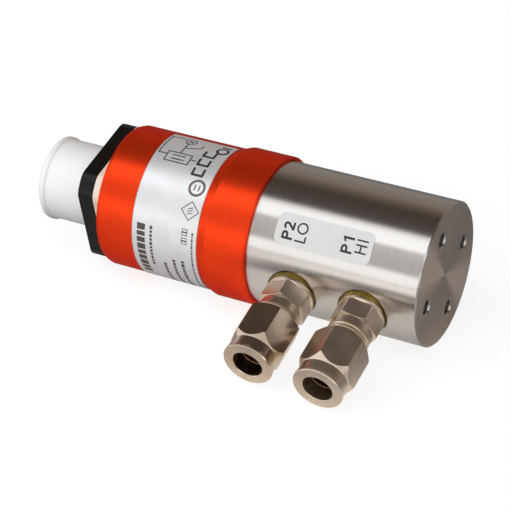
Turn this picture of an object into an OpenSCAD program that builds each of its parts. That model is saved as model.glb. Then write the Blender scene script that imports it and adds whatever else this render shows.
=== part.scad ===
// Wet differential pressure sensor, lying on its side as it is shown
// The axis of the body is X, the end face with four tapped holes is at x = 0, and +Z is up
// All sizes are in millimetres
// Threads are drawn plain at their outer radius, apart from the grooves on the union necks

/* [Steel body] */
// Radius of the steel body
body_r = 20; // [19.6:0.1:20.6]
// Length of the full round part behind the seat of the chamber plug
back_len = 3; // [3:0.1:4.5]
// Length of the spigot that carries the sleeve
spigot_len = 10; // [9:0.1:12]
// Width of the bevel round the end face
edge_bevel = 0.3; // [0.2:0.05:0.8]
// Diameter of the circle of tapped holes in the end face
bolt_circle_d = 25.4; // [23:0.1:27]
// Radius of the tapped holes
bolt_hole_r = 2; // [1.5:0.05:2.1]
// Depth of the tapped holes
bolt_hole_depth = 7.5; // [5:0.1:8]
// Radius of the bevelled mouth of the tapped holes
bolt_mouth_r = 2.4; // [2.2:0.05:2.5]

/* [Ports] */
// Turn of both ports below the horizontal
port_tilt = 15.66; // [14:0.01:18]
// Distance of the high side port in front of the cell
port_hi_front = 6.28; // [6:0.01:6.5]
// Distance of the low side port behind the cell
port_lo_behind = 3.31; // [2.9:0.01:3.7]
// Depth of the flat seat of a port below the crown of the body
seat_depth = 1.4; // [1.35:0.05:1.8]
// Radius of the flat seat
seat_r = 7.15; // [7.1:0.01:7.2]
// Outer radius of the port thread
port_thread_r = 4.86; // [4.7:0.01:4.9]
// Wall between the port thread and the bore for the cell
port_wall = 1.3; // [1.1:0.05:1.8]
// Radius of the drilled passage behind a port
passage_r = 1.5; // [1.2:0.05:1.55]

/* [Pressure cell] */
// Radius of the bore for the cell
cell_bore_r = 9.5; // [9.3:0.05:9.7]
// Depth of the cell seat behind the end face
cell_seat_dist = 21.5; // [21.3:0.1:21.8]
// Length of the cell
cell_len = 11; // [10.8:0.1:11.2]
// Width from the bore for the cell to the edge of a diaphragm
diaphragm_rim = 3.7; // [3.6:0.05:4.2]
// Distance of the four cell pins from the bore for the cell
pin_inset = 2.6; // [2.5:0.01:2.65]
// Radius of a cell pin
pin_r = 0.3; // [0.25:0.01:0.4]
// Length of the chamber behind the cell
chamber_len = 7; // [6.8:0.1:7.2]
// Length from the cell to the flange of the plug that closes the chamber
plug_len = 15; // [14.6:0.1:15.4]

/* [Red sleeve] */
// Height of the sleeve above the steel body
sleeve_rise = 0.15; // [0.1:0.01:0.4]
// Thickness of the sleeve wall
sleeve_wall = 2.1; // [1.9:0.05:2.1]
// Length of the sleeve with its collar
sleeve_len = 46.35; // [45.8:0.05:47]
// Height of the collar above the sleeve
collar_rise = 0.95; // [0.75:0.01:1.4]
// Length of the collar
collar_len = 12.1; // [11:0.1:12.5]
// Length of the cone between the collar and the sleeve
cone_len = 2.6; // [2:0.1:2.7]
// Length of the collar that laps over the steel body
collar_lap = 1.2; // [0.8:0.05:1.5]
// Thickness of the end wall of the sleeve
end_wall = 3.65; // [3.4:0.05:3.8]
// Length of the bevel at the plug end of the sleeve
end_bevel = 0.85; // [0.6:0.05:1]

/* [Labels] */
// Length of the sleeve label along the body
sleeve_label_len = 20.1; // [15:0.1:20.2]
// Angle at which the sleeve label starts
sleeve_label_from = 75; // [60:1:90]
// Angle over which the sleeve label runs
sleeve_label_sweep = 210; // [150:1:240]
// Thickness of both labels
label_t = 0.1; // [0.05:0.01:0.2]
// Length of the port label
port_label_len = 27.6; // [20:0.1:28]
// Width of the port label
port_label_w = 8.73; // [6:0.01:9]
// Angle of the middle of the port label
port_label_at = 142.9; // [135:0.1:150]

/* [Plug base] */
// Turn of the square flange
plug_turn = 14.1; // [12:0.1:18]
// Width of the square flange over its flats
flange_w = 30.8; // [30.4:0.1:31.4]
// Radius of the circle through the rounded corners of the flange
flange_corner_r = 19; // [18.9:0.05:19.3]
// Radius that blends the corners into the flats
flange_blend_r = 4; // [3.5:0.1:4.5]
// Thickness of the flange
flange_t = 4.75; // [4.4:0.05:5.2]
// Thickness of the gasket under the flange
gasket_t = 2.3; // [2:0.05:2.6]
// Distance by which the gasket stands out beyond the flange
gasket_lip = 0.1; // [0.05:0.01:0.2]
// Distance of a base screw from the two middle lines of the flange
screw_at = 11.2; // [11.1:0.05:11.4]
// Radius of the contact block
block_r = 10.3; // [10.25:0.01:10.35]
// Length of the contact block in front of the flange
block_len = 6; // [5:0.1:7]
// Distance of a contact blade from the middle
blade_at = 9; // [8.9:0.01:9.05]
// Width of a contact blade
blade_w = 6.3; // [5.8:0.05:6.35]
// Thickness of a contact blade
blade_t = 0.8; // [0.7:0.05:0.9]
// Free length of a contact blade
blade_free = 8.3; // [7:0.1:8.6]

/* [Protective cap] */
// Radius of the barrel of the cap
cap_r = 11.6; // [11.55:0.01:11.8]
// Length of the cap
cap_len = 16.75; // [16.5:0.05:17.5]
// Thickness of the round wall of the cap
cap_wall = 0.65; // [0.6:0.01:0.7]
// Radius of the lip of the cap
cap_lip_r = 12.1; // [12:0.05:12.6]
// Length of the lip
cap_lip_len = 1.8; // [1.5:0.1:3]
// Sag of the loose cap
cap_sag = 0.3; // [0:0.01:0.3]

/* [Tube unions] */
// Width of the nut over its flats
nut_af = 14; // [13.8:0.1:14.4]
// Length of the nut
nut_len = 16.2; // [16:0.1:16.4]
// Radius of the tube hole in the nut
tube_hole_r = 4.19; // [4.15:0.01:4.3]
// Length from the flat seat to the end of the tightened nut
union_len = 28.23; // [28:0.01:28.4]
// Distance by which the high side nut stands further out
nut_hi_out = 1.3; // [0:0.05:1.5]
// Turn of the low side nut
nut_lo_turn = 67.2; // [0:0.1:120]
// Turn of the high side nut
nut_hi_turn = 36.2; // [0:0.1:120]
// Width of the stud over its flats
stud_af = 12; // [12:0.1:13]
// Turn of the low side stud
stud_lo_turn = 86.8; // [0:0.1:120]
// Turn of the high side stud
stud_hi_turn = 112.4; // [0:0.1:120]
// Radius of the union thread
union_r = 5.97; // [5.94:0.01:5.98]
// Pitch of the union thread
union_pitch = 1; // [1:0.01:1]
// Length of the plain neck between the hex and the thread of a stud
neck_len = 2.7; // [2:0.1:3]
// Depth taken off the edges between the flats of the nuts and studs
hex_land = 0.12; // [0.05:0.01:0.16]
// Radius of the seal ring
seal_r = 6.95; // [6.8:0.05:7.05]
// Thickness of the seal ring
seal_t = 1.5; // [1.4:0.05:1.6]

/* [Circuit board] */
// Length of the circuit board
board_len = 25; // [24.8:0.1:25.2]
// Distance of the edge of the circuit board inside its carrier ring
board_side = 3.9; // [3.8:0.05:4.2]
// Thickness of the circuit board
board_t = 1.6; // [1.4:0.1:1.6]
// Height of the middle of the circuit board below the body axis
board_drop = 3; // [2.9:0.1:3.1]

/* [Hidden] */
$fn = 96;

// Gap between fixed pieces that touch
fit = 0.02;
// Gap round pieces that turn or slide
run = 0.05;
// Overlap of a cut beyond the face it starts from
over = 0.3;

// Places along the body axis
body_len = cell_seat_dist + cell_len + plug_len + back_len;
port_hi_dist = cell_seat_dist - port_hi_front;
port_lo_dist = cell_seat_dist + cell_len + port_lo_behind;
shoulder_x = -body_len;
collar_x = shoulder_x + collar_lap;
spigot_x = shoulder_x - spigot_len;
sleeve_x = collar_x - sleeve_len;
gasket_x = sleeve_x - gasket_t;
flange_x = gasket_x - flange_t;
block_x = flange_x - block_len;
cap_x = flange_x - cap_len;
blade_x = block_x - blade_free;
wall_x = sleeve_x + end_wall;
spigot_end_x = wall_x + 1;
tail_x = spigot_end_x + 2;

// Steel body inside
cell_seat_x = -cell_seat_dist;
cell_x = cell_seat_x - cell_len;
chamber_r = cell_bore_r - 2;
clamp_bore_r = cell_bore_r + 2;
plug_seat_x = cell_x - plug_len;
skirt_x = cell_x - chamber_len;
sleeve_r = body_r + sleeve_rise;
collar_r = sleeve_r + collar_rise;
spigot_r = sleeve_r - sleeve_wall - run;
groove_r = spigot_r - 1.5;
groove_x = shoulder_x - 5;
groove_w = 2.4;
drill_point = 0.6;

// Cell
cell_r = cell_bore_r - run;
cell_groove_r = cell_bore_r - 1.5;
cell_groove_x = cell_seat_x - 5.5;
diaphragm_r = cell_bore_r - diaphragm_rim;
pin_circle_r = cell_bore_r - pin_inset;
recess_r = diaphragm_r + fit;
recess_t = 0.8;
diaphragm_t = 0.12;
skirt_in_r = cell_bore_r - 1.3;
plug_groove_x = plug_seat_x + 4;
plug_flange_x = plug_seat_x - 2.5;
bead_r = 0.9;
pin_x = plug_flange_x - 7;
pin_depth = 2;
ring_x = plug_flange_x - 4;

// Sleeve
sleeve_bore_r = sleeve_r - sleeve_wall;
lap_r = body_r + 0.1;
cone_x = collar_x - collar_len;
plain_x = cone_x - cone_len;
base_hole_r = 11;
base_spigot_r = 10.8;
screw_r = 1.5;
screw_head_r = 2.75;
screw_hole_r = 1.65;

// Unions, measured along a port from the body axis
seat_d = body_r - seat_depth;
port_thread_d = cell_bore_r + port_wall;
nut_end_d = seat_d + union_len;
seal_d = seat_d + seal_t;
stud_hex_d = seal_d + 1.3;
stud_top_d = seal_d + 6.5;
thread_d = stud_top_d + neck_len;
nose_d = nut_end_d - 8.2;
socket_d = nose_d - 8.2;
socket_r = 4.1;
mouth_r = 5;
cone_d = nose_d - (mouth_r - socket_r) / tan(12);
nut_bore_r = union_r + run;
shoulder_d = nut_end_d - 4.2;
ferrule_in_r = 4.03;
ferrule_out_r = 5.35;
ferrule_tip_d = cone_d + 0.9;

// Circuit board, held low in the sleeve
carrier_x = spigot_x - 2.5;
board_x = carrier_x - 0.4;
board_top = board_t / 2 - board_drop;
board_under = -board_t / 2 - board_drop;
carrier_r = sleeve_bore_r - 0.15;
carrier_bore_r = 9;
board_w = 2 * (carrier_r - board_side);
rail_in = board_w / 2 - 1.1;
rail_out = board_w / 2 + 2.2;
rail_x = wall_x + 2;

// Places of the parts on the board, from its front edge and its middle line
amplifier_at = 9.8;
power_at = 17.6;
power_y = 5.2;
trimmer_at = 8;
trimmer_y = 5.4;
trimmer_len = 9;
trimmer_w = 4.8;
trimmer_h = 7;
header_at = 22.7;
header_w = 10.4;
header_h = 3;
lead_pitch = 2.54;

// A solid turned round the body axis from points of radius and x
module turned(points) {
  rotate([0, 90, 0])
    rotate_extrude()
      polygon(points);
}

// A round bar along the body axis from one x to another
module bar_x(r, from, to) {
  translate([min(from, to), 0, 0])
    rotate([0, 90, 0])
      cylinder(r = r, h = abs(to - from));
}

// A box from one corner to the other
module block(a, b) {
  translate(a)
    cube(b - a);
}

// Places its children on a port, with local z away from the body axis
module at_port(x) {
  rotate([port_tilt, 0, 0])
    translate([x, 0, 0])
      rotate([90, 0, 0])
        children();
}

// A ring of round section round the body axis
module o_ring(r, section_r, x) {
  translate([x, 0, 0])
    rotate([0, 90, 0])
      rotate_extrude()
        translate([r, 0])
          circle(r = section_r);
}

// A round wire through a list of points
module wire(points, r) {
  for (i = [0 : len(points) - 2]) {
    run_v = points[i + 1] - points[i];
    run_len = norm(run_v);
    translate(points[i])
      rotate([0, acos(run_v[2] / run_len), atan2(run_v[1], run_v[0])])
        cylinder(r = r, h = run_len, $fn = 24);
  }
  for (i = [1 : 1 : len(points) - 2])
    translate(points[i])
      sphere(r = r * 1.12, $fn = 24);
}

// Places its children on the four corners of the flange
module at_screws() {
  for (sy = [-1, 1])
    for (sz = [-1, 1])
      rotate([plug_turn, 0, 0])
        translate([0, sy * screw_at, sz * screw_at])
          children();
}

// Places its children on the four pins of the cell
module at_pins() {
  for (k = [0 : 3])
    rotate([plug_turn + 45 + 90 * k, 0, 0])
      translate([0, pin_circle_r, 0])
        children();
}

// The square outline with arched corners, from one x to another
module rounded_square(w, corner_r, blend_r, from, to) {
  in_y = w / 2 - blend_r;
  in_z = sqrt(pow(corner_r - blend_r, 2) - pow(in_y, 2));
  at = atan2(in_z, in_y);
  translate([from, 0, 0]) {
    translate([0, -w / 2, -in_z])
      cube([to - from, w, 2 * in_z]);
    translate([0, -in_z, -w / 2])
      cube([to - from, 2 * in_z, w]);
    for (k = [0 : 3])
      rotate([90 * k, 0, 0]) {
        translate([0, in_y, in_z])
          bar_x(blend_r, 0, to - from);
        translate([0, in_z, in_y])
          bar_x(blend_r, 0, to - from);
        intersection() {
          bar_x(corner_r, 0, to - from);
          rotate([90, 0, 90])
            linear_extrude(height = to - from)
              polygon([
                [0, 0],
                [corner_r * 1.2 * cos(at), corner_r * 1.2 * sin(at)],
                [corner_r * 1.2 * sin(at), corner_r * 1.2 * cos(at)]
              ]);
        }
      }
  }
}

// The hole for one port, from the flat seat to the passage
module port_hole(x, depth_d) {
  at_port(x) {
    translate([0, 0, seat_d])
      cylinder(r = seat_r, h = body_r);
    translate([0, 0, port_thread_d])
      cylinder(r = port_thread_r + fit, h = body_r);
    translate([0, 0, depth_d])
      cylinder(r = passage_r, h = body_r - depth_d);
  }
}

// One tapped hole of the end face with its bevelled mouth and drill point
module bolt_hole() {
  bevel = bolt_mouth_r - bolt_hole_r;
  turned([
    [0, over], [bolt_mouth_r + over, over], [bolt_mouth_r, 0],
    [bolt_hole_r, -bevel], [bolt_hole_r, -bolt_hole_depth],
    [0, -bolt_hole_depth - bolt_hole_r * drill_point]
  ]);
}

module pressure_body() {
  color([0.72, 0.72, 0.73])
    difference() {
      turned([
        [0, 0], [body_r - edge_bevel, 0], [body_r, -edge_bevel],
        [body_r, shoulder_x], [spigot_r, shoulder_x],
        [spigot_r, groove_x + groove_w / 2], [groove_r, groove_x + groove_w / 2],
        [groove_r, groove_x - groove_w / 2], [spigot_r, groove_x - groove_w / 2],
        [spigot_r, spigot_x + 0.6], [spigot_r - 0.6, spigot_x], [0, spigot_x]
      ]);
      bar_x(clamp_bore_r, spigot_x - over, plug_seat_x);
      bar_x(cell_bore_r, spigot_x - over, cell_seat_x);
      bar_x(chamber_r, cell_seat_x - over, cell_seat_x + 1);
      bar_x(passage_r - 0.1, cell_seat_x, -port_hi_dist);
      port_hole(-port_hi_dist, -passage_r - 0.3);
      port_hole(-port_lo_dist, cell_bore_r - 1);
      for (k = [0 : 3])
        rotate([port_tilt + 90 * k, 0, 0])
          translate([0, bolt_circle_d / 2, 0])
            bolt_hole();
    }
}

module pressure_cell() {
  color([0.7, 0.71, 0.73])
    difference() {
      turned([
        [0, cell_seat_x], [cell_r - 0.4, cell_seat_x], [cell_r, cell_seat_x - 0.4],
        [cell_r, cell_groove_x + groove_w / 2], [cell_groove_r, cell_groove_x + groove_w / 2],
        [cell_groove_r, cell_groove_x - groove_w / 2], [cell_r, cell_groove_x - groove_w / 2],
        [cell_r, cell_x], [0, cell_x]
      ]);
      bar_x(recess_r, cell_seat_x + over, cell_seat_x - recess_t);
      bar_x(recess_r - 0.8, cell_seat_x, cell_seat_x - recess_t - 0.3);
      bar_x(recess_r, cell_x - over, cell_x + recess_t);
      bar_x(recess_r - 0.8, cell_x, cell_x + recess_t + 0.3);
      at_pins()
        bar_x(pin_r + fit, cell_x - over, cell_x + pin_depth);
    }
}

// A thin disc with two shallow rings pressed into it, seen from its outer side
module diaphragm(x, way) {
  t = diaphragm_t * way;
  s = 0.12 * way;
  a = diaphragm_r * 0.43;
  b = diaphragm_r * 0.71;
  turned([
    [0, x], [a - 0.5, x], [a, x + s], [a + 0.5, x], [b - 0.5, x], [b, x + s], [b + 0.5, x],
    [diaphragm_r, x], [diaphragm_r, x + t], [b + 0.5, x + t], [b, x + s + t], [b - 0.5, x + t],
    [a + 0.5, x + t], [a, x + s + t], [a - 0.5, x + t], [0, x + t]
  ]);
}

module diaphragm_hi() {
  color([0.8, 0.8, 0.82])
    diaphragm(cell_seat_x - recess_t, 1);
}

module diaphragm_lo() {
  color([0.8, 0.8, 0.82])
    diaphragm(cell_x + recess_t, -1);
}

module cell_o_ring() {
  color([0.12, 0.12, 0.12])
    o_ring((cell_bore_r + cell_groove_r) / 2, (cell_bore_r - cell_groove_r) / 2 - fit, cell_groove_x);
}

module chamber_plug() {
  color([0.66, 0.67, 0.69])
    difference() {
      turned([
        [skirt_in_r, cell_x], [cell_r, cell_x],
        [cell_r, plug_groove_x + groove_w / 2], [cell_groove_r, plug_groove_x + groove_w / 2],
        [cell_groove_r, plug_groove_x - groove_w / 2], [cell_r, plug_groove_x - groove_w / 2],
        [cell_r, plug_seat_x], [clamp_bore_r - run, plug_seat_x],
        [clamp_bore_r - run, plug_flange_x], [0, plug_flange_x],
        [0, skirt_x], [skirt_in_r, skirt_x]
      ]);
      for (k = [0, 1])
        at_port(-port_lo_dist)
          rotate([180 * k, 0, 0])
            translate([0, 0, skirt_in_r - 1])
              cylinder(r = passage_r + 0.1, h = 3);
      at_pins()
        bar_x(bead_r, plug_flange_x - over, skirt_x + over);
    }
}

module chamber_o_ring() {
  color([0.12, 0.12, 0.12])
    o_ring((cell_bore_r + cell_groove_r) / 2, (cell_bore_r - cell_groove_r) / 2 - fit, plug_groove_x);
}

module glass_beads() {
  color([0.35, 0.45, 0.4])
    at_pins()
      difference() {
        bar_x(bead_r - fit, plug_flange_x + 1, skirt_x - 0.5);
        bar_x(pin_r + fit, plug_flange_x, skirt_x);
      }
}

module cell_pins() {
  color([0.85, 0.72, 0.4])
    at_pins()
      bar_x(pin_r, pin_x, cell_x + pin_depth - fit);
}

module clamp_ring() {
  color([0.62, 0.63, 0.65])
    difference() {
      turned([
        [skirt_in_r, plug_flange_x], [clamp_bore_r - fit, plug_flange_x],
        [clamp_bore_r - fit, ring_x + 0.5], [clamp_bore_r - 0.5, ring_x],
        [skirt_in_r + 0.4, ring_x], [skirt_in_r, ring_x + 0.4]
      ]);
      rotate([plug_turn, 0, 0])
        block([ring_x - over, -clamp_bore_r, -1.2], [ring_x + 1.6, clamp_bore_r, 1.2]);
    }
}

module spigot_o_ring() {
  color([0.12, 0.12, 0.12])
    o_ring((sleeve_bore_r + groove_r) / 2, (sleeve_bore_r - groove_r) / 2 - fit, groove_x);
}

module housing_sleeve() {
  color([0.93, 0.3, 0.14])
    difference() {
      turned([
        [base_hole_r, sleeve_x], [sleeve_r - end_bevel * 0.35, sleeve_x],
        [sleeve_r, sleeve_x + end_bevel], [sleeve_r, plain_x], [collar_r, cone_x],
        [collar_r, collar_x - 0.35], [collar_r - 0.35, collar_x], [lap_r, collar_x],
        [lap_r, shoulder_x], [sleeve_bore_r, shoulder_x],
        [sleeve_bore_r, wall_x], [base_hole_r, wall_x]
      ]);
      at_screws()
        bar_x(screw_r + fit, sleeve_x - over, wall_x + over);
    }
}

module sleeve_label() {
  in_r = sleeve_r + 0.01;
  color([0.82, 0.83, 0.84])
    rotate([0, 90, 0])
      rotate([0, 0, sleeve_label_from + 90])
        rotate_extrude(angle = sleeve_label_sweep)
          translate([in_r, plain_x - 0.1 - sleeve_label_len])
            square([label_t, sleeve_label_len]);
}

module port_label() {
  in_r = body_r + 0.01;
  mid_x = -(port_hi_dist + port_lo_dist) / 2 - 2.7;
  corner = 2;
  color([0.88, 0.89, 0.88])
    intersection() {
      turned([
        [in_r, 0], [in_r + label_t, 0], [in_r + label_t, shoulder_x], [in_r, shoulder_x]
      ]);
      rotate([port_label_at, 0, 0])
        translate([mid_x, body_r / 2, 0])
          rotate([-90, 0, 0]) {
            translate([-port_label_len / 2 + corner, -port_label_w / 2, 0])
              cube([port_label_len - 2 * corner, port_label_w, body_r]);
            translate([-port_label_len / 2, -port_label_w / 2 + corner, 0])
              cube([port_label_len, port_label_w - 2 * corner, body_r]);
            for (sx = [-1, 1])
              for (sy = [-1, 1])
                translate([
                  sx * (port_label_len / 2 - corner),
                  sy * (port_label_w / 2 - corner),
                  0
                ])
                  cylinder(r = corner, h = body_r);
          }
    }
}

module board_carrier() {
  edge = board_t / 2 + fit;
  color([0.2, 0.22, 0.24])
    rotate([plug_turn, 0, 0]) {
      difference() {
        bar_x(carrier_r, carrier_x, spigot_x);
        bar_x(carrier_bore_r, carrier_x - over, spigot_x + over);
      }
      for (s = [-1, 1])
        scale([1, s, 1])
          difference() {
            intersection() {
              block([rail_x, rail_in, -6], [carrier_x + 0.5, rail_out, 0]);
              bar_x(carrier_r, rail_x, carrier_x + 0.5);
            }
            block(
              [rail_x - over, rail_in - over, -board_drop - edge],
              [carrier_x, board_w / 2 + fit, -board_drop + edge]
            );
          }
    }
}

module circuit_board() {
  color([0.08, 0.35, 0.2])
    rotate([plug_turn, 0, 0])
      difference() {
        block([board_x - board_len, -board_w / 2, board_under], [board_x, board_w / 2, board_top]);
        for (s = [-1, 1])
          translate([board_x - 2.3, s * (board_w / 2 - 3), board_under - over])
            cylinder(r = 0.8, h = board_t + 2 * over, $fn = 24);
      }
}

module amplifier_chip() {
  color([0.1, 0.1, 0.11])
    rotate([plug_turn, 0, 0])
      translate([board_x - amplifier_at, 0, board_top]) {
        difference() {
          block([-1.95, -2.45, 0.15], [1.95, 2.45, 1.75]);
          translate([1.2, -1.7, 1.6])
            cylinder(r = 0.35, h = 1, $fn = 24);
        }
        for (s = [-1, 1])
          for (k = [-1.5 : 1.5]) {
            block([s > 0 ? 1.9 : -2.5, k * 1.27 - 0.2, 0.8], [s > 0 ? 2.5 : -1.9, k * 1.27 + 0.2, 1]);
            block([s > 0 ? 2.3 : -2.5, k * 1.27 - 0.2, 0], [s > 0 ? 2.5 : -2.3, k * 1.27 + 0.2, 1]);
            block([s > 0 ? 2.3 : -3.1, k * 1.27 - 0.2, 0], [s > 0 ? 3.1 : -2.3, k * 1.27 + 0.2, 0.2]);
          }
      }
}

module regulator_chip() {
  color([0.14, 0.14, 0.15])
    rotate([plug_turn, 0, 0])
      translate([board_x - power_at, -power_y, board_top]) {
        block([-3.25, -1.75, 0.1], [3.25, 1.75, 1.7]);
        block([-1.5, 1.7, 0], [1.5, 3.3, 0.25]);
        for (k = [-1 : 1])
          block([k * 2.3 - 0.35, -3.3, 0], [k * 2.3 + 0.35, -1.7, 0.25]);
      }
}

module filter_capacitor() {
  color([0.62, 0.64, 0.66])
    rotate([plug_turn, 0, 0])
      translate([board_x - power_at, power_y, board_top]) {
        block([-3.3, -3.3, 0], [3.3, 3.3, 1.2]);
        translate([0, 0, 1])
          rotate_extrude()
            polygon([[0, 0], [3.1, 0], [3.1, 0.6], [2.85, 0.85], [3.1, 1.1], [3.1, 4.9], [2.8, 5.2], [0, 5.2]]);
      }
}

// A trimmer with its adjusting screw turned away from the body
module trimmer(y) {
  rotate([plug_turn, 0, 0])
    translate([board_x - trimmer_at, y, board_top]) {
      block([-trimmer_len / 2, -trimmer_w / 2, 0], [trimmer_len / 2, trimmer_w / 2, trimmer_h]);
      difference() {
        translate([1.3 - trimmer_len / 2, 0, trimmer_h - 0.1])
          cylinder(r = 1.1, h = 0.9, $fn = 24);
        block([-trimmer_len / 2, -0.2, trimmer_h + 0.4], [2.6 - trimmer_len / 2, 0.2, trimmer_h + 1]);
      }
    }
}

module zero_trimmer() {
  color([0.16, 0.32, 0.6])
    trimmer(trimmer_y);
}

module span_trimmer() {
  color([0.16, 0.32, 0.6])
    trimmer(-trimmer_y);
}

module lead_header() {
  color([0.9, 0.88, 0.8])
    rotate([plug_turn, 0, 0])
      translate([board_x - header_at, 0, board_top])
        difference() {
          block([-1.3, -header_w / 2, 0], [1.3, header_w / 2, header_h]);
          for (k = [-1.5 : 1.5])
            block([0.9, k * lead_pitch - 0.6, 0.6], [2, k * lead_pitch + 0.6, 2.2]);
        }
}

// A flat lead bent to a profile of x and z, at one y
module flat_lead(profile, y) {
  translate([0, y + 0.45, 0])
    rotate([90, 0, 0])
      linear_extrude(height = 0.9)
        polygon(profile);
}

module cell_leads() {
  c = pin_circle_r * cos(45);
  t = 0.25;
  from_x = pin_x - fit;
  bend_x = spigot_x - 1.5;
  land_x = board_x - 2.2;
  above = board_top + fit;
  below = board_under - fit;
  color([0.75, 0.45, 0.15])
    rotate([plug_turn, 0, 0])
      for (s = [-1, 1]) {
        flat_lead([
          [from_x, c + t], [bend_x, c + t], [land_x - t, 1.1], [land_x - t, above],
          [land_x + t, above], [land_x + t, 0.9], [bend_x + 0.1, c - t], [from_x, c - t]
        ], s * c);
        flat_lead([
          [from_x, t - c], [bend_x, t - c], [land_x + 1.2, -5.7], [land_x + t, -5.2],
          [land_x + t, below], [land_x - t, below], [land_x - t, -5.4],
          [land_x + 1.1, -6.3], [bend_x - 0.1, -c - t], [from_x, -c - t]
        ], s * c);
      }
}

module plug_leads() {
  from_x = board_x - header_at;
  from_z = board_top + header_h + fit;
  near_y = lead_pitch / 2;
  far_y = lead_pitch * 1.5;
  bend_x = tail_x + 1.6;
  drop_x = (spigot_end_x + board_x - board_len) / 2;
  end_x = tail_x + fit;
  color([0.8, 0.65, 0.1])
    rotate([plug_turn, 0, 0]) {
      for (s = [-1, 1])
        wire([
          [from_x, s * far_y, from_z], [from_x, s * far_y, 3.2],
          [bend_x, s * blade_at, 1.5], [bend_x, s * blade_at, 0], [end_x, s * blade_at, 0]
        ], 0.55);
      wire([
        [from_x, -near_y, from_z], [from_x, -near_y, 5.5],
        [bend_x, 0, blade_at], [end_x, 0, blade_at]
      ], 0.55);
      wire([
        [from_x, near_y, from_z], [from_x, near_y, 2.4],
        [drop_x, near_y, 1.6], [drop_x, near_y, -blade_at + blade_t / 2 + fit]
      ], 0.55);
    }
}

// The outline of a contact blade, wider by a gap all round where that is asked for
module blade(turn, gap, free_x) {
  w = blade_w / 2 + gap;
  t = blade_t / 2 + gap;
  tail_w = 1.6 + gap;
  step_x = spigot_end_x - 2;
  tip = gap > 0 ? 0 : 1;
  rotate([plug_turn + turn, 0, 0])
    translate([0, blade_at + t, 0])
      rotate([90, 0, 0])
        linear_extrude(height = 2 * t)
          polygon([
            [free_x, -w + tip], [free_x + tip, -w], [step_x + gap, -w], [step_x + gap, -tail_w],
            [tail_x, -tail_w], [tail_x, tail_w], [step_x + gap, tail_w], [step_x + gap, w],
            [free_x + tip, w], [free_x, w - tip]
          ]);
}

module plug_base() {
  color([0.1, 0.1, 0.1])
    difference() {
      union() {
        rotate([plug_turn, 0, 0])
          rounded_square(flange_w, flange_corner_r, flange_blend_r, flange_x, gasket_x);
        bar_x(base_spigot_r, gasket_x - 0.5, spigot_end_x);
        turned([
          [0, flange_x + 0.5], [block_r, flange_x + 0.5],
          [block_r, block_x + 0.5], [block_r - 0.5, block_x], [0, block_x]
        ]);
      }
      for (k = [0 : 3])
        blade(90 * k, fit, block_x - over);
      at_screws()
        bar_x(screw_hole_r, flange_x - over, gasket_x + over);
      at_screws()
        turned([
          [0, flange_x - over], [screw_head_r + fit + over, flange_x - over],
          [screw_r + fit, flange_x + screw_head_r - screw_r], [0, flange_x + screw_head_r - screw_r]
        ]);
      turned([
        [0, block_x - over], [1.25, block_x - over], [1.25, block_x + 8], [0, block_x + 8.7]
      ]);
    }
}

module base_gasket() {
  color([0.9, 0.84, 0.77])
    difference() {
      rotate([plug_turn, 0, 0])
        rounded_square(
          flange_w + 2 * gasket_lip, flange_corner_r + gasket_lip, flange_blend_r + gasket_lip,
          gasket_x, sleeve_x
        );
      bar_x(base_hole_r, gasket_x - over, sleeve_x + over);
      at_screws()
        bar_x(screw_hole_r, gasket_x - over, sleeve_x + over);
    }
}

module base_screws() {
  color([0.75, 0.75, 0.76])
    at_screws()
      difference() {
        turned([
          [0, flange_x], [screw_head_r, flange_x],
          [screw_r, flange_x + screw_head_r - screw_r],
          [screw_r, wall_x - 1.1], [screw_r - 0.5, wall_x - 0.6], [0, wall_x - 0.6]
        ]);
        block([flange_x - over, -1.4, -0.3], [flange_x + 1.1, 1.4, 0.3]);
        block([flange_x - over, -0.3, -1.4], [flange_x + 1.1, 0.3, 1.4]);
      }
}

module contact_blade_1() {
  color([0.8, 0.78, 0.72])
    blade(0, 0, blade_x);
}

module contact_blade_2() {
  color([0.8, 0.78, 0.72])
    blade(180, 0, blade_x);
}

module contact_blade_3() {
  color([0.8, 0.78, 0.72])
    blade(90, 0, blade_x);
}

module earth_blade() {
  color([0.8, 0.78, 0.72])
    blade(270, 0, blade_x);
}

module protective_cap() {
  in_r = cap_r - cap_wall;
  lip_x = cap_x + cap_lip_len;
  blend = cap_lip_r - cap_r;
  color([0.93, 0.93, 0.91])
    translate([0, -0.47 * cap_sag, -0.88 * cap_sag])
      difference() {
        turned([
          [0, cap_x], [cap_lip_r - 0.4, cap_x], [cap_lip_r, cap_x + 0.4],
          [cap_lip_r, lip_x - 0.4], [cap_lip_r - 0.15, lip_x - 0.1],
          [cap_r + blend * 0.3, lip_x + 0.1], [cap_r, lip_x + 0.5],
          [cap_r, flange_x], [0, flange_x]
        ]);
        turned([
          [0, cap_x + 1.1], [in_r - 0.6, cap_x + 1.1], [in_r, cap_x + 1.7],
          [in_r, flange_x + over], [0, flange_x + over]
        ]);
      }
}

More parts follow.
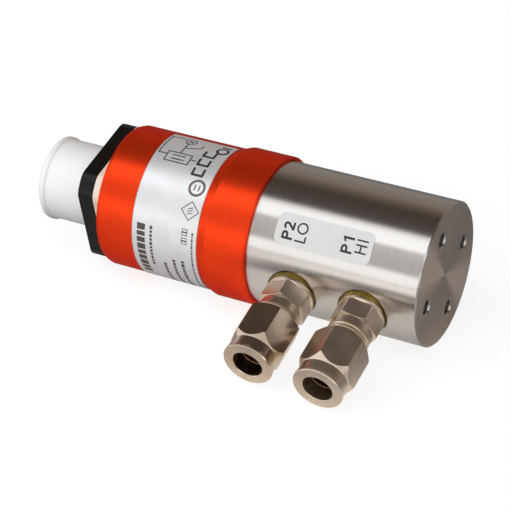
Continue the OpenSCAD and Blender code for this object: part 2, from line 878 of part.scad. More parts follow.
// A stud with its port thread, round back, hex, neck with a thread and cone for the tube
module union_stud(x, turn) {
  hex_r = stud_af / sqrt(3);
  flat_r = stud_af / 2;
  land_r = hex_r - hex_land;
  back_r = seal_r - 0.3;
  turns = floor((nose_d - thread_d - 1) / union_pitch);
  thread = [for (k = [0 : turns - 1]) for (p = [0.1, 0.42, 0.58, 0.9])
    [p == 0.1 || p == 0.9 ? union_r : union_r - 0.42, thread_d + (k + p) * union_pitch]];
  at_port(x)
    difference() {
      union() {
        rotate_extrude()
          polygon(concat(
            [
              [0, port_thread_d + 0.2], [port_thread_r - 0.7, port_thread_d + 0.2],
              [port_thread_r, port_thread_d + 0.9], [port_thread_r, seal_d],
              [back_r - 0.15, seal_d], [back_r, seal_d + 0.15], [back_r, stud_hex_d - 0.45],
              [flat_r - 0.1, stud_hex_d], [flat_r - 0.1, stud_hex_d + 1],
              [union_r - 0.1, stud_hex_d + 1], [union_r - 0.1, thread_d - 0.5],
              [union_r - 0.42, thread_d - 0.35], [union_r - 0.42, thread_d - 0.15],
              [union_r, thread_d]
            ],
            thread,
            [[union_r, nose_d - 0.4], [union_r - 0.4, nose_d], [0, nose_d]]
          ));
        intersection() {
          rotate_extrude()
            polygon([
              [0, stud_hex_d - 0.6], [flat_r - 0.2, stud_hex_d - 0.6], [land_r, stud_hex_d + 0.1],
              [land_r, stud_top_d - 0.5], [flat_r - 0.2, stud_top_d], [0, stud_top_d]
            ]);
          rotate([0, 0, turn])
            cylinder(r = hex_r, h = nose_d, $fn = 6);
        }
      }
      rotate_extrude()
        polygon([
          [0, port_thread_d], [2.5, port_thread_d], [2.5, socket_d],
          [socket_r, socket_d], [socket_r, cone_d],
          [mouth_r, nose_d], [mouth_r + over * tan(12), nose_d + over], [0, nose_d + over]
        ]);
    }
}

module seal_ring(x) {
  at_port(x)
    rotate_extrude()
      polygon([
        [port_thread_r + 0.14, seat_d], [seal_r - 0.15, seat_d], [seal_r, seat_d + 0.15],
        [seal_r, seal_d - 0.15], [seal_r - 0.15, seal_d], [port_thread_r + 0.14, seal_d]
      ]);
}

// An olive that stands a distance further out than when it is tight
module ferrule(x, out) {
  back_d = shoulder_d + tube_hole_r - ferrule_out_r - 0.07;
  grow = tan(12);
  at_port(x)
    translate([0, 0, out])
      rotate_extrude()
        polygon([
          [ferrule_in_r, ferrule_tip_d],
          [socket_r - run + (ferrule_tip_d - cone_d) * grow, ferrule_tip_d],
          [mouth_r - run, nose_d],
          [mouth_r - run, nose_d + 0.3], [ferrule_out_r, nose_d + 0.3],
          [ferrule_out_r, back_d], [ferrule_out_r - 1, back_d + 1], [ferrule_in_r, back_d + 1]
        ]);
}

// A hex nut with a round collar, shown with its tube hole outwards
module union_nut(x, out, turn) {
  hex_r = nut_af / sqrt(3);
  flat_r = nut_af / 2;
  land_r = hex_r - hex_land;
  e = nut_end_d;
  low = e - nut_len;
  at_port(x)
    translate([0, 0, out])
      rotate([0, 0, turn])
        difference() {
          intersection() {
            rotate_extrude()
              polygon([
                [0, low], [flat_r - 0.5, low], [land_r, low + 0.95],
                [land_r, e - 6], [6.8, e - 4], [6.8, e - 1.1],
                [flat_r, e - 0.7], [flat_r, e - 0.35], [6.75, e], [0, e]
              ]);
            cylinder(r = hex_r, h = e + over, $fn = 6);
          }
          rotate_extrude()
            polygon([
              [0, low - over], [nut_bore_r + 0.4 + over, low - over], [nut_bore_r, low + 0.4],
              [nut_bore_r, shoulder_d - nut_bore_r + tube_hole_r],
              [tube_hole_r, shoulder_d], [tube_hole_r, e - 0.15],
              [tube_hole_r + 0.15 + over, e + over], [0, e + over]
            ]);
        }
}

module union_stud_hi() {
  color([0.74, 0.7, 0.64])
    union_stud(-port_hi_dist, stud_hi_turn);
}

module seal_ring_hi() {
  color([0.66, 0.6, 0.4])
    seal_ring(-port_hi_dist);
}

module ferrule_hi() {
  color([0.8, 0.78, 0.74])
    ferrule(-port_hi_dist, nut_hi_out);
}

module union_nut_hi() {
  color([0.74, 0.7, 0.64])
    union_nut(-port_hi_dist, nut_hi_out, nut_hi_turn);
}

module union_stud_lo() {
  color([0.74, 0.7, 0.64])
    union_stud(-port_lo_dist, stud_lo_turn);
}

module seal_ring_lo() {
  color([0.66, 0.6, 0.4])
    seal_ring(-port_lo_dist);
}

module ferrule_lo() {
  color([0.8, 0.78, 0.74])
    ferrule(-port_lo_dist, 0);
}

module union_nut_lo() {
  color([0.74, 0.7, 0.64])
    union_nut(-port_lo_dist, 0, nut_lo_turn);
}

pressure_body();
pressure_cell();
diaphragm_hi();
diaphragm_lo();
cell_o_ring();
chamber_plug();
chamber_o_ring();
glass_beads();
cell_pins();
clamp_ring();
spigot_o_ring();
housing_sleeve();
sleeve_label();
port_label();
board_carrier();
circuit_board();
amplifier_chip();
regulator_chip();
filter_capacitor();
zero_trimmer();
span_trimmer();
lead_header();
cell_leads();
plug_leads();
plug_base();
base_gasket();
base_screws();
contact_blade_1();
contact_blade_2();
contact_blade_3();
earth_blade();
protective_cap();
union_stud_hi();
seal_ring_hi();
ferrule_hi();
union_nut_hi();
union_stud_lo();
seal_ring_lo();
ferrule_lo();
union_nut_lo();
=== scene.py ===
import math

import bmesh
import bpy
from mathutils import Matrix, Vector


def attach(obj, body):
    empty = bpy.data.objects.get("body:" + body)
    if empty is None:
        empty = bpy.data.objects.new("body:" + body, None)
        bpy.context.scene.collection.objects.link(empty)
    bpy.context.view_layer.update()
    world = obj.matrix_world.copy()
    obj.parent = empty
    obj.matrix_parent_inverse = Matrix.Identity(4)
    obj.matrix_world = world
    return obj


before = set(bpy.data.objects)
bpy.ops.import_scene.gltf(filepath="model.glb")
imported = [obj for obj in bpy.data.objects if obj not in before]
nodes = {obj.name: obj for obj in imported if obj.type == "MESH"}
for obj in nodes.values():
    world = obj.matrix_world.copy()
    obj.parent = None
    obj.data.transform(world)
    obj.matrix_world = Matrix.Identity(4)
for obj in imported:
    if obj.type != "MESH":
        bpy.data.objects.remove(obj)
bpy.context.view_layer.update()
MM = 0.001

# Radii and places of the part, in millimetres
LABEL_R = 20.26
LABEL_EDGE = -64.1
LABEL_FROM = 230
PORT_LABEL_R = 20.11
PORT_TILT = 15.66
FLOOR_Z = -21.1

# Turned metal: how far a face looks along X to count as an end face, and the warm painted reflection tint that
# end faces may take
END_FACING = 0.8
END_REFLECTION_TINT = (0.80, 0.655, 0.55)

# Printed marks, in millimetres
LETTER_HEIGHT = 3.2
BOLD_PEN, LIGHT_PEN, SIGN_PEN, SKETCH_PEN = 0.6, 0.46, 0.72, 0.34
INK_THICKNESS, INK_RISE = 0.01, 0.012

bpy.context.scene.view_settings.view_transform = "Standard"


# Camera

def look(azimuth, elevation, focal, place):
    a, e = math.radians(azimuth), math.radians(elevation)
    back = Vector((math.sin(a) * math.cos(e), -math.cos(a) * math.cos(e), math.sin(e)))
    right = Vector((0, 0, 1)).cross(back).normalized()
    up = back.cross(right)
    data = bpy.data.cameras.new("photo_camera")
    data.lens, data.sensor_width = focal, 36
    data.clip_start, data.clip_end = 0.01, 20
    camera = bpy.data.objects.new("photo_camera", data)
    bpy.context.scene.collection.objects.link(camera)
    camera.matrix_world = Matrix((
        (right.x, up.x, back.x, place[0] * MM),
        (right.y, up.y, back.y, place[1] * MM),
        (right.z, up.z, back.z, place[2] * MM),
        (0, 0, 0, 1),
    ))
    bpy.context.scene.camera = camera


look(27.136, 30.904, 139.41, (158.565, -419.857, 273.016))


# Finishes

class Finish:
    """A material being mixed: its nodes are added one by one and read places on the piece in millimetres."""

    def __init__(self, name):
        self.material = bpy.data.materials.new(name)
        self.material.use_nodes = True
        self.tree = self.material.node_tree
        self.tree.nodes.clear()
        self.place = self.scaled(self.add("TexCoord").outputs["Object"], (1000, 1000, 1000))

    def add(self, kind, **settings):
        made = self.tree.nodes.new("ShaderNode" + kind)
        for name, value in settings.items():
            setattr(made, name, value)
        return made

    def put(self, socket, value):
        if isinstance(value, bpy.types.NodeSocket):
            self.tree.links.new(value, socket)
        else:
            socket.default_value = value

    def scaled(self, vector, by, turn=(0, 0, 0)):
        mapped = self.add("Mapping")
        self.put(mapped.inputs["Vector"], vector)
        mapped.inputs["Scale"].default_value = by
        mapped.inputs["Rotation"].default_value = turn
        return mapped.outputs["Vector"]

    def sum(self, operation, a, b=0.0, clamp=False):
        made = self.add("Math", operation=operation, use_clamp=clamp)
        self.put(made.inputs[0], a)
        self.put(made.inputs[1], b)
        return made.outputs[0]

    def parts(self, vector):
        split = self.add("SeparateXYZ")
        self.put(split.inputs[0], vector)
        return split.outputs

    def joined(self, x, y, z):
        made = self.add("CombineXYZ")
        for socket, value in zip(made.inputs, (x, y, z)):
            self.put(socket, value)
        return made.outputs[0]

    def noise(self, vector, scale=1.0, detail=2.0, rough=0.5):
        made = self.add("TexNoise")
        self.put(made.inputs["Vector"], vector)
        made.inputs["Scale"].default_value = scale
        made.inputs["Detail"].default_value = detail
        made.inputs["Roughness"].default_value = rough
        return made.outputs["Fac"]

    def fit(self, value, low, high, to_low, to_high):
        made = self.add("MapRange")
        for socket, v in zip(made.inputs, (value, low, high, to_low, to_high)):
            self.put(socket, v)
        return made.outputs[0]

    def blend(self, factor, a, b):
        made = self.add("Mix", data_type="RGBA")
        self.put(made.inputs[0], factor)
        self.put(made.inputs[6], a if not isinstance(a, tuple) else (*a, 1))
        self.put(made.inputs[7], b if not isinstance(b, tuple) else (*b, 1))
        return made.outputs[2]

    def weighed(self, share, without, whole):
        """A value that goes from one to the other as the share goes from 0 to 1."""
        rest = self.sum("SUBTRACT", 1.0, share)
        return self.sum("ADD", self.sum("MULTIPLY", share, whole), self.sum("MULTIPLY", rest, without))

    def blend_vectors(self, factor, a, b):
        made = self.add("Mix", data_type="VECTOR")
        self.put(made.inputs[0], factor)
        self.put(made.inputs[4], a)
        self.put(made.inputs[5], b)
        return made.outputs[1]

    def bumped(self, height, strength, depth_mm):
        made = self.add("Bump")
        made.inputs["Strength"].default_value = strength
        made.inputs["Distance"].default_value = depth_mm * MM
        self.put(made.inputs["Height"], height)
        return made.outputs["Normal"]

    def surface(self, colour, **sockets):
        shader = self.add("BsdfPrincipled")
        self.put(shader.inputs["Base Color"], colour if not isinstance(colour, tuple) else (*colour, 1))
        for name, value in sockets.items():
            self.put(shader.inputs[name.replace("_", " ").title().replace("Ior", "IOR")], value)
        out = self.add("OutputMaterial")
        self.tree.links.new(shader.outputs[0], out.inputs[0])
        return self.material


def turned_metal(
    name, light, dark, roughness, stretch, grain=7.0, depth=0.003,
    metallic=1.0, end_own_colour_share=1.0, end_rough=0.0, **more,
):
    """Metal turned round the X axis: grooves run round the side and in circles on the end faces.

    End faces are rougher by end_rough, and take on a warm painted reflection tint as the share of their own
    colour falls below 1.
    """
    f = Finish(name)
    x, y, z = f.parts(f.place)
    radius = f.sum("SQRT", f.sum("ADD", f.sum("MULTIPLY", y, y), f.sum("MULTIPLY", z, z)))
    facing = f.sum("ABSOLUTE", f.parts(f.add("NewGeometry").outputs["Normal"])[0])
    on_end = f.sum("GREATER_THAN", facing, END_FACING)
    feed = f.sum("ADD", f.sum("MULTIPLY", x, f.sum("SUBTRACT", 1.0, on_end)), f.sum("MULTIPLY", radius, on_end))

    def grooves(across, along, detail, rough):
        """Noise that is finer across the grooves than along them."""
        sides = [f.sum("MULTIPLY", side, along) for side in (y, z)]
        return f.noise(f.joined(f.sum("MULTIPLY", feed, across), *sides), 1.0, detail, rough)

    fine = grooves(grain, 0.22, 3.0, 0.65)
    broad = grooves(0.9, 0.05, 2.0, 0.5)
    mixed = f.sum("ADD", f.sum("MULTIPLY", fine, 0.75), f.sum("MULTIPLY", broad, 0.25))
    outward = f.add("VectorMath", operation="NORMALIZE")
    f.put(outward.inputs[0], f.joined(0.0, y, z))
    tangent = f.blend_vectors(on_end, (1.0, 0.0, 0.0), outward.outputs[0])
    shade = f.blend(f.fit(mixed, 0.3, 0.7, 0.0, 1.0), dark, light)
    # End faces take on a warm painted reflection tint in place of part of their own colour.
    if end_own_colour_share < 1.0:
        shade = f.blend(f.sum("MULTIPLY", on_end, 1.0 - end_own_colour_share), shade, END_REFLECTION_TINT)
    rough = f.fit(fine, 0.3, 0.7, roughness - 0.03, roughness + 0.04)
    if end_rough:
        rough = f.sum("ADD", rough, f.sum("MULTIPLY", on_end, end_rough))
    return f.surface(
        shade,
        metallic=metallic,
        roughness=rough,
        anisotropic=stretch,
        tangent=tangent,
        normal=f.bumped(mixed, 0.25, depth),
        **more,
    )


def plated(name, light, dark, roughness, depth=0.002):
    """Nickel plate over drawn bar: faint lines along the port and a slow change of shade."""
    f = Finish(name)
    along_port = f.scaled(f.place, (1, 1, 1), (math.radians(-PORT_TILT), 0, 0))
    drawn = f.noise(f.scaled(along_port, (5.0, 0.12, 5.0)), 1.0, 2.0, 0.5)
    cloud = f.noise(f.place, 0.2, 2.0, 0.5)
    mixed = f.sum("ADD", f.sum("MULTIPLY", drawn, 0.5), f.sum("MULTIPLY", cloud, 0.5))
    return f.surface(
        f.blend(f.fit(mixed, 0.35, 0.65, 0.0, 1.0), dark, light),
        metallic=1.0,
        roughness=f.fit(mixed, 0.3, 0.7, roughness - 0.03, roughness + 0.04),
        normal=f.bumped(drawn, 0.15, depth),
    )


def plain(name, light, dark, roughness, metallic=0.0, size=1.2, depth=0.01, **more):
    """A moulded or cast finish with a fine even grain and a slow change of shade."""
    f = Finish(name)
    grain = f.noise(f.place, size * 6, 4.0, 0.6)
    shade = f.noise(f.place, size * 0.25, 2.0, 0.5)
    return f.surface(
        f.blend(f.fit(shade, 0.35, 0.65, 0.0, 1.0), dark, light),
        metallic=metallic,
        roughness=f.fit(grain, 0.3, 0.7, roughness - 0.05, roughness + 0.05),
        normal=f.bumped(grain, 0.3, depth),
        **more,
    )


def circuit_green():
    f = Finish("board_green")
    x, y = f.parts(f.scaled(f.place, (1, 1, 1), (math.radians(-14.1), 0, 0)))[:2]
    lanes = f.add("TexBrick")
    f.put(lanes.inputs["Vector"], f.joined(x, y, 0.0))
    lanes.inputs["Scale"].default_value = 0.9
    lanes.inputs["Mortar Size"].default_value = 0.06
    copper = lanes.outputs["Fac"]
    weave = f.noise(f.place, 5.0, 2.0)
    return f.surface(
        f.blend(copper, f.blend(weave, (0.01, 0.12, 0.05), (0.015, 0.16, 0.07)), (0.05, 0.28, 0.12)),
        roughness=f.fit(weave, 0.3, 0.7, 0.25, 0.4),
        normal=f.bumped(copper, 0.3, 0.03),
    )


# The body's end faces carry a warm painted reflection tint.
steel = turned_metal(
    "turned_steel", (0.63, 0.61, 0.59), (0.56, 0.54, 0.52), 0.22, 0.9, end_own_colour_share=0.35, end_rough=0.15,
)
inner_steel = turned_metal("cell_steel", (0.66, 0.66, 0.67), (0.56, 0.56, 0.57), 0.26, 0.7, 12.0)
red = turned_metal(
    "red_anodised", (0.93, 0.060, 0.011), (0.86, 0.047, 0.009), 0.34, 0.6, 9.0,
    metallic=0.74, specular_ior_level=0.3, specular_tint=(1.0, 0.35, 0.25, 1.0),
)
nickel = plated("nickel_plate", (0.69, 0.575, 0.46), (0.54, 0.44, 0.34), 0.17, 0.003)
brushed_nickel = plated("brushed_nickel", (0.74, 0.625, 0.505), (0.60, 0.50, 0.39), 0.30, 0.0026)
satin_nickel = plated("satin_nickel", (0.74, 0.63, 0.51), (0.60, 0.505, 0.395), 0.32, 0.0032)
bare_nickel = plated("ferrule_nickel", (0.72, 0.60, 0.46), (0.62, 0.50, 0.38), 0.16)
seal_metal = plain("seal_ring_metal", (0.32, 0.22, 0.035), (0.11, 0.075, 0.016), 0.3, 0.85)
black = plain(
    "black_nylon", (0.006, 0.005, 0.0045), (0.004, 0.0035, 0.003), 0.34, 0.0, 1.4, 0.01, specular_ior_level=0.26,
)
cream = plain("cream_silicone", (0.88, 0.77, 0.66), (0.83, 0.72, 0.61), 0.5, 0.0, 0.9, 0.01)
white_cap = plain("cap_polyethylene", (0.94, 0.94, 0.935), (0.92, 0.92, 0.915), 0.42, 0.0, 0.6, 0.006)
foil = plain("silver_foil_label", (0.80, 0.81, 0.825), (0.76, 0.77, 0.785), 0.36, 0.48, 0.8, 0.002)
film = plain("white_film_label", (0.71, 0.72, 0.715), (0.68, 0.69, 0.685), 0.35, 0.0, 0.8, 0.002)
ink = plain("label_ink", (0.03, 0.03, 0.035), (0.02, 0.02, 0.025), 0.5, 0.0, 2.0, 0.001)
grey_ink = plain("grey_label_ink", (0.085, 0.075, 0.07), (0.06, 0.052, 0.048), 0.5, 0.0, 2.0, 0.001)
brown_ink = plain("brown_label_ink", (0.16, 0.125, 0.105), (0.12, 0.09, 0.075), 0.5, 0.0, 2.0, 0.001)
tinned = plain("tinned_contact", (0.72, 0.71, 0.66), (0.60, 0.58, 0.53), 0.28, 1.0, 1.5)
rubber = plain("black_rubber", (0.02, 0.02, 0.02), (0.012, 0.012, 0.012), 0.55)
glass_seal = plain("green_sealing_glass", (0.06, 0.16, 0.11), (0.04, 0.11, 0.08), 0.12)
gold = plain("gold_pin", (0.85, 0.58, 0.22), (0.75, 0.50, 0.18), 0.2, 1.0)
chip_black = plain("chip_epoxy", (0.028, 0.028, 0.03), (0.018, 0.018, 0.02), 0.5, 0.0, 2.5)
can_metal = plain("capacitor_can", (0.70, 0.71, 0.72), (0.62, 0.63, 0.64), 0.3, 1.0)
trimmer_blue = plain("trimmer_blue", (0.03, 0.12, 0.42), (0.02, 0.09, 0.34), 0.3)
header_cream = plain("header_nylon", (0.72, 0.68, 0.55), (0.66, 0.62, 0.50), 0.45)
film_amber = plain("amber_film", (0.50, 0.24, 0.04), (0.42, 0.19, 0.03), 0.25)
wire_yellow = plain("yellow_wire", (0.72, 0.50, 0.04), (0.64, 0.44, 0.03), 0.4)
board_green = circuit_green()

worn_by = {
    "pressure_body": steel, "clamp_ring": steel,
    "pressure_cell": inner_steel, "diaphragm_hi": inner_steel, "diaphragm_lo": inner_steel,
    "chamber_plug": inner_steel,
    "cell_o_ring": rubber, "chamber_o_ring": rubber, "spigot_o_ring": rubber,
    "glass_beads": glass_seal, "cell_pins": gold,
    "housing_sleeve": red, "sleeve_label": foil, "port_label": film,
    "board_carrier": black, "circuit_board": board_green,
    "amplifier_chip": chip_black, "regulator_chip": chip_black, "filter_capacitor": can_metal,
    "zero_trimmer": trimmer_blue, "span_trimmer": trimmer_blue, "lead_header": header_cream,
    "cell_leads": film_amber, "plug_leads": wire_yellow,
    "plug_base": black, "base_gasket": cream, "base_screws": tinned,
    "contact_blade_1": tinned, "contact_blade_2": tinned, "contact_blade_3": tinned,
    "earth_blade": tinned, "protective_cap": white_cap,
    "union_stud_hi": brushed_nickel, "union_stud_lo": brushed_nickel, "union_nut_hi": satin_nickel,
    "union_nut_lo": nickel, "ferrule_hi": bare_nickel, "ferrule_lo": bare_nickel,
    "seal_ring_hi": seal_metal, "seal_ring_lo": seal_metal,
}
for name, finish in worn_by.items():
    slots = nodes[name].data.materials
    slots.clear()
    slots.append(finish)


# Printed marks: drawn flat in millimetres, then laid round the body with their tops towards the plug

def lay_round(mesh_data, radius, x, angle):
    """Bends a flat drawing round the body: its x runs up round the body and its y towards the plug."""
    for vertex in mesh_data.vertices:
        across, up, high = vertex.co
        turn = math.radians(angle) - across / radius
        vertex.co = (
            (x - up) * MM,
            (radius + high) * math.cos(turn) * MM,
            (radius + high) * math.sin(turn) * MM,
        )


def printed(name, mesh_data, finish):
    piece = bpy.data.objects.new(name, mesh_data)
    bpy.context.scene.collection.objects.link(piece)
    mesh_data.materials.clear()
    mesh_data.materials.append(finish)
    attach(piece, "sensor")


class Drawing:
    """A flat drawing in millimetres: x runs up round the body and y towards the plug."""

    def __init__(self):
        self.flat = bmesh.new()

    def bar(self, a, b, width):
        a, b = Vector((*a, 0)), Vector((*b, 0))
        run = b - a
        steps = max(1, int(run.length / 0.4))
        made = bmesh.ops.create_grid(self.flat, x_segments=steps, y_segments=1, size=0.5)["verts"]
        bmesh.ops.scale(self.flat, verts=made, vec=(run.length, width, 1))
        bmesh.ops.rotate(self.flat, verts=made, matrix=Matrix.Rotation(math.atan2(run.y, run.x), 3, "Z"))
        bmesh.ops.translate(self.flat, verts=made, vec=(a + b) / 2)

    def arc(self, at, radius, width, start=0.0, sweep=360.0):
        centre = Vector((*at, 0))
        ray = Vector((math.cos(math.radians(start)), math.sin(math.radians(start)), 0))
        ends = [self.flat.verts.new(centre + ray * (radius + side * width / 2)) for side in (-1, 1)]
        bmesh.ops.spin(
            self.flat, geom=ends + [self.flat.edges.new(ends)], cent=centre, axis=(0, 0, 1),
            angle=math.radians(sweep), steps=max(6, int(abs(sweep) / 8)), use_merge=abs(sweep) == 360,
        )

    def loop(self, corners, width):
        """A closed outline with square corners."""
        for k, corner in enumerate(corners):
            following = corners[(k + 1) % len(corners)]
            run = (Vector(following) - Vector(corner)).normalized() * width / 2
            self.bar(tuple(Vector(corner) - run), tuple(Vector(following) + run), width)

    def row(self, up, start, end, height, lengths, gap):
        """Short bars in a row round the body, where small print would run."""
        at, k = start, 0
        while at + lengths[k % len(lengths)] < end:
            step = lengths[k % len(lengths)]
            self.bar((at, up), (at + step, up), height)
            at += step + gap
            k += 1

    def finish(self, name, finish, radius, x, angle):
        self.flat.normal_update()
        bmesh.ops.reverse_faces(self.flat, faces=[face for face in self.flat.faces if face.normal.z < 0])
        bmesh.ops.solidify(self.flat, geom=self.flat.faces[:], thickness=INK_THICKNESS)
        mesh_data = bpy.data.meshes.new(name)
        self.flat.to_mesh(mesh_data)
        self.flat.free()
        lay_round(mesh_data, radius + INK_RISE, x, angle)
        printed(name, mesh_data, finish)


# Letters of the port label, each drawn from strokes and returning its width

def letter_p(flat, x, tall, pen):
    bowl = tall * 0.29
    flat.bar((x + pen / 2, 0), (x + pen / 2, tall), pen)
    for up in (tall - pen / 2, tall + pen / 2 - 2 * bowl):
        flat.bar((x + pen / 2, up), (x + tall * 0.36, up), pen)
    flat.arc((x + tall * 0.36, tall - bowl), bowl - pen / 2, pen, -90, 180)
    return tall * 0.36 + bowl


def letter_1(flat, x, tall, pen):
    stem = x + tall * 0.3
    flat.bar((stem, 0), (stem, tall), pen)
    flat.bar((x, tall * 0.74), (stem + pen * 0.3, tall - pen * 0.35), pen * 0.85)
    return tall * 0.3 + pen / 2


def letter_2(flat, x, tall, pen):
    top = tall * 0.29
    wide = tall * 0.62
    flat.arc((x + wide / 2, tall - top), top - pen / 2, pen, 170, -205)
    flat.bar((x + pen * 0.45, pen * 0.6), (x + wide / 2 + top * 0.62, tall - top * 1.45), pen)
    flat.bar((x, pen / 2), (x + wide, pen / 2), pen)
    return wide


def letter_l(flat, x, tall, pen):
    flat.bar((x + pen / 2, 0), (x + pen / 2, tall), pen)
    flat.bar((x, pen / 2), (x + tall * 0.55, pen / 2), pen)
    return tall * 0.55


def letter_o(flat, x, tall, pen):
    flat.arc((x + tall / 2, tall / 2), tall / 2 - pen / 2, pen)
    return tall


def letter_h(flat, x, tall, pen):
    wide = tall * 0.74
    for side in (pen / 2, wide - pen / 2):
        flat.bar((x + side, 0), (x + side, tall), pen)
    flat.bar((x, tall * 0.53), (x + wide, tall * 0.53), pen)
    return wide


def letter_i(flat, x, tall, pen):
    flat.bar((x + pen / 2, 0), (x + pen / 2, tall), pen)
    return pen


def port_word(name, letters, pen, gap, stretch, x, angle):
    """One word of the port label, with x on its base line and its start at an angle."""
    word = Drawing()
    at = 0.0
    for letter in letters:
        at += letter(word, at, LETTER_HEIGHT, pen) + gap
    bmesh.ops.scale(word.flat, verts=word.flat.verts[:], vec=(stretch, 1, 1))
    word.finish(name, ink, PORT_LABEL_R, x, angle)


port_word("mark_low_port", (letter_p, letter_2), BOLD_PEN, 0.28, 1.1, -36.8, 150.8)
port_word("mark_low_side", (letter_l, letter_o), LIGHT_PEN, 0.4, 1.0, -32.95, 150.9)
port_word("mark_high_port", (letter_p, letter_1), BOLD_PEN, 0.66, 1.1, -19.75, 149.9)
port_word("mark_high_side", (letter_h, letter_i), LIGHT_PEN, 0.86, 1.0, -15.85, 147.9)


# Marks of the sleeve label. A spot is given as x of the body and the angle round it

def spot(x, angle):
    return (math.radians(LABEL_FROM - angle) * LABEL_R, LABEL_EDGE - x)


def label_marks(name, finish, draw):
    flat = Drawing()
    draw(flat)
    flat.finish(name, finish, LABEL_R, LABEL_EDGE, LABEL_FROM)


def wiring_sketch(flat):
    pen = SKETCH_PEN
    flat.loop([spot(-80.6, 112.5), spot(-73.4, 112.5), spot(-73.4, 102.5), spot(-80.6, 102.5)], pen)
    for a, b in (
        ((-77.2, 102.5), (-77.2, 88.4)), ((-77.2, 95.5), (-72.9, 91.5)), ((-72.9, 91.5), (-72.9, 86)),
        ((-80.6, 106), (-83.3, 106)), ((-83.3, 106), (-83.3, 81.5)), ((-83.3, 81.5), (-79.0, 81.5)),
        ((-73.4, 107), (-71.6, 107)), ((-75.0, 105.5), (-79.0, 105.5)), ((-75.0, 109.5), (-79.0, 109.5)),
    ):
        flat.bar(spot(*a), spot(*b), pen)
    flat.arc(spot(-77.2, 84.2), 1.5, pen)
    flat.bar(spot(-77.9, 82.6), spot(-76.5, 85.8), pen)
    flat.bar(spot(-76.5, 82.6), spot(-77.9, 85.8), pen)


def black_signs(flat):
    for angle in (119.5, 109.5, 99.5):
        flat.bar(spot(-71.0, angle), spot(-67.3, angle), SIGN_PEN)
        for x in (-70.7, -67.6):
            flat.bar(spot(x, angle), spot(x, angle - 6.6), SIGN_PEN)
    flat.arc(spot(-66.8, 88.0), 1.55, SIGN_PEN)
    flat.bar(spot(-65.3, 80.5), spot(-68.3, 80.5), SIGN_PEN)


def ring_sign(flat):
    flat.arc(spot(-67.5, 129.8), 2.15, SIGN_PEN)
    for x in (-66.85, -68.15):
        flat.bar(spot(x, 132.2), spot(x, 127.4), 0.42)


def diamond_sign(flat):
    x, angle = -67.4, 148.3
    flat.loop([spot(x - 2.6, angle), spot(x, angle - 7.4), spot(x + 2.6, angle), spot(x, angle + 7.4)], 0.24)
    for turn in (2.0, 0.0, -2.0):
        flat.bar(spot(x + 0.75, angle + turn - 0.8), spot(x - 0.75, angle + turn + 0.8), 0.22)


def print_row(flat, x, start, end, height, lengths, gap):
    flat.row(LABEL_EDGE - x, spot(x, start)[0], spot(x, end)[0], height, lengths, gap)


def small_print(flat):
    print_row(flat, -65.5, 232, 163, 0.5, (0.8, 0.45, 1.05, 0.6, 0.9, 0.4), 0.26)
    print_row(flat, -68.7, 233, 190, 0.95, (0.9, 0.7, 1.3, 0.8), 0.32)
    print_row(flat, -71.4, 233, 192, 0.9, (0.75, 1.1, 0.85), 0.32)
    print_row(flat, -74.4, 233, 196, 0.9, (1.05, 0.75, 0.9), 0.34)
    print_row(flat, -78.2, 204, 164, 0.8, (0.9, 0.7, 1.05, 0.75), 0.36)
    for angle in (175.2, 172.4, 168.0, 165.2):
        a, b = spot(-67.2, angle), spot(-68.7, angle - 2.2)
        flat.loop([a, (b[0], a[1]), b, (a[0], b[1])], 0.2)


def wide_blocks(flat):
    print_row(flat, -81.3, 218, 163.5, 2.5, (1.6, 1.35, 1.85), 0.46)


# Thin dark lines along both edges of the label: painted shadow of the label's raised edge.
def painted_label_shadow_lines(flat):
    for x in (LABEL_EDGE - 0.08, LABEL_EDGE - 20.02):
        flat.bar(spot(x, LABEL_FROM + 54.6), spot(x, LABEL_FROM - 154.6), 0.1)


label_marks("mark_wiring", ink, wiring_sketch)
label_marks("mark_signs", ink, black_signs)
label_marks("mark_ring", brown_ink, ring_sign)
label_marks("mark_diamond", ink, diamond_sign)
label_marks("mark_small_print", grey_ink, small_print)
label_marks("mark_blocks", grey_ink, wide_blocks)
# The label's edge lines are painted shadow, drawn in grey ink.
label_marks("mark_painted_label_shadow", grey_ink, painted_label_shadow_lines)


# Studio: pale floor, a soft world with a bright front and a dim top

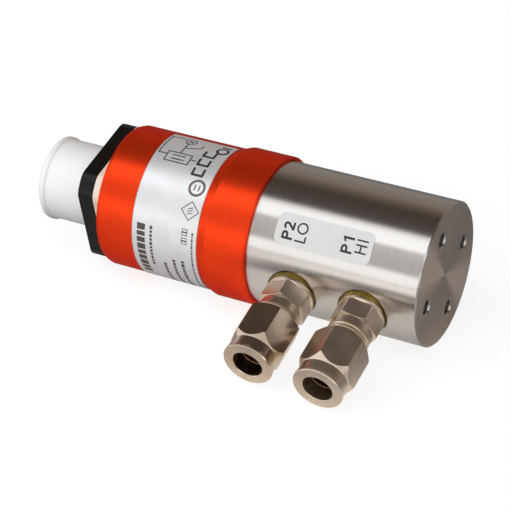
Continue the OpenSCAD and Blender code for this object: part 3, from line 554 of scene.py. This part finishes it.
def studio_world():
    world = bpy.data.worlds.new("studio")
    bpy.context.scene.world = world
    world.use_nodes = True
    tree = world.node_tree
    tree.nodes.clear()

    def add(kind, **settings):
        made = tree.nodes.new("ShaderNode" + kind)
        for name, value in settings.items():
            setattr(made, name, value)
        return made

    split = add("SeparateXYZ")
    tree.links.new(add("TexCoord").outputs["Generated"], split.inputs[0])
    angle = add("Math", operation="ARCTAN2")
    tree.links.new(split.outputs[2], angle.inputs[0])
    tree.links.new(split.outputs[1], angle.inputs[1])
    spread = add("MapRange")
    tree.links.new(angle.outputs[0], spread.inputs[0])
    for socket, value in zip(spread.inputs[1:], (0.0, math.pi, 0.0, 1.0)):
        socket.default_value = value
    ramp = add("ValToRGB")
    tree.links.new(spread.outputs[0], ramp.inputs[0])
    # Degrees from the back over the top to the front, and the colour of the studio there
    stops = [
        (0, (0.36, 0.325, 0.30)), (12, (0.32, 0.28, 0.25)), (36, (0.29, 0.245, 0.215)),
        (48, (0.165, 0.13, 0.105)), (62, (0.076, 0.059, 0.046)), (88, (0.11, 0.095, 0.087)),
        (95, (0.17, 0.155, 0.145)), (101, (1.3, 1.3, 1.3)), (106, (1.6, 1.62, 1.65)),
        (124, (1.65, 1.67, 1.7)), (126.5, (0.80, 0.78, 0.77)), (160, (0.66, 0.63, 0.61)),
        (165, (1.5, 1.5, 1.5)), (180, (1.5, 1.5, 1.5)),
    ]
    ramp.color_ramp.interpolation = "LINEAR"
    for degrees, colour in stops[1:-1]:
        ramp.color_ramp.elements.new(degrees / 180)
    for element, (degrees, colour) in zip(ramp.color_ramp.elements, stops):
        element.position = degrees / 180
        element.color = (*colour, 1)
    light = add("Background")
    tree.links.new(ramp.outputs[0], light.inputs[0])
    sky = add("Background")
    sky.inputs[0].default_value = (1, 1, 1, 1)
    path = add("LightPath").outputs
    seen = add("Math", operation="MAXIMUM")
    tree.links.new(path["Is Camera Ray"], seen.inputs[0])
    tree.links.new(path["Is Transmission Ray"], seen.inputs[1])
    choose = add("MixShader")
    tree.links.new(seen.outputs[0], choose.inputs[0])
    tree.links.new(light.outputs[0], choose.inputs[1])
    tree.links.new(sky.outputs[0], choose.inputs[2])
    tree.links.new(choose.outputs[0], add("OutputWorld").inputs[0])


def pale_floor():
    """White to the camera. In reflections it glows in bands by its place, as the studio's panels do."""
    bm = bmesh.new()
    bmesh.ops.create_grid(bm, x_segments=1, y_segments=1, size=6)
    bmesh.ops.translate(bm, verts=bm.verts, vec=(0, 0, FLOOR_Z * MM))
    mesh_data = bpy.data.meshes.new("floor")
    bm.to_mesh(mesh_data)
    bm.free()
    floor = bpy.data.objects.new("floor", mesh_data)
    bpy.context.scene.collection.objects.link(floor)
    f = Finish("pale_floor")
    x, y = f.parts(f.place)[:2]
    path = f.add("LightPath").outputs
    far_front = f.fit(y, -175, -100, 1.2, 0.0)
    near = f.sum("MULTIPLY", f.fit(y, -60, -45, 0.03, 0.66), f.fit(y, -24, -12, 1.0, 0.58))
    behind = f.fit(y, 12, 40, 1.0, 0.1)
    past_end = f.sum("MULTIPLY", f.fit(x, -6, 6, 0.0, 0.85), f.fit(y, -45, -25, 0.0, 1.0))
    by_end = f.sum("SUBTRACT", 1.0, past_end)
    by_body = f.sum("MAXIMUM", far_front, f.sum("MULTIPLY", near, by_end))
    by_sleeve = f.sum("MULTIPLY", f.fit(y, -110, -8, 1.2, 0.2), f.fit(x, -114, -100, 0.5, 1.0))
    under_sleeve = f.fit(f.sum("SUBTRACT", x, f.sum("MULTIPLY", y, 0.32)), -52, -49, 1.0, 0.0)
    mirrored = f.sum("MULTIPLY", f.weighed(under_sleeve, by_body, by_sleeve), behind)
    seen = f.sum("ADD", path["Is Camera Ray"], path["Is Transmission Ray"], clamp=True)
    strength = f.sum("ADD", f.sum("MULTIPLY", seen, 0.82), f.sum("MULTIPLY", path["Is Glossy Ray"], mirrored))
    paint = f.add("BsdfDiffuse")
    paint.inputs[0].default_value = (0.28, 0.28, 0.28, 1)
    glow = f.add("Emission")
    f.put(glow.inputs[0], f.blend(path["Is Glossy Ray"], (1.0, 1.0, 1.0), (1.0, 0.94, 0.88)))
    f.put(glow.inputs[1], strength)
    both = f.add("AddShader")
    f.tree.links.new(paint.outputs[0], both.inputs[0])
    f.tree.links.new(glow.outputs[0], both.inputs[1])
    f.tree.links.new(both.outputs[0], f.add("OutputMaterial").inputs[0])
    f.material.cycles.emission_sampling = "NONE"
    mesh_data.materials.append(f.material)


def soft_lamp(name, place, size, power):
    """A soft box that lights the pale surfaces and stays out of the reflections."""
    data = bpy.data.lights.new(name, "AREA")
    data.shape, data.size, data.energy = "SQUARE", size, power
    lamp = bpy.data.objects.new(name, data)
    lamp.location = place
    lamp.rotation_euler = (-Vector(place)).to_track_quat("-Z", "Y").to_euler()
    lamp.visible_glossy = False
    bpy.context.scene.collection.objects.link(lamp)


studio_world()
pale_floor()
soft_lamp("front_softbox", (-0.5, -0.78, 0.48), 0.7, 3.1)
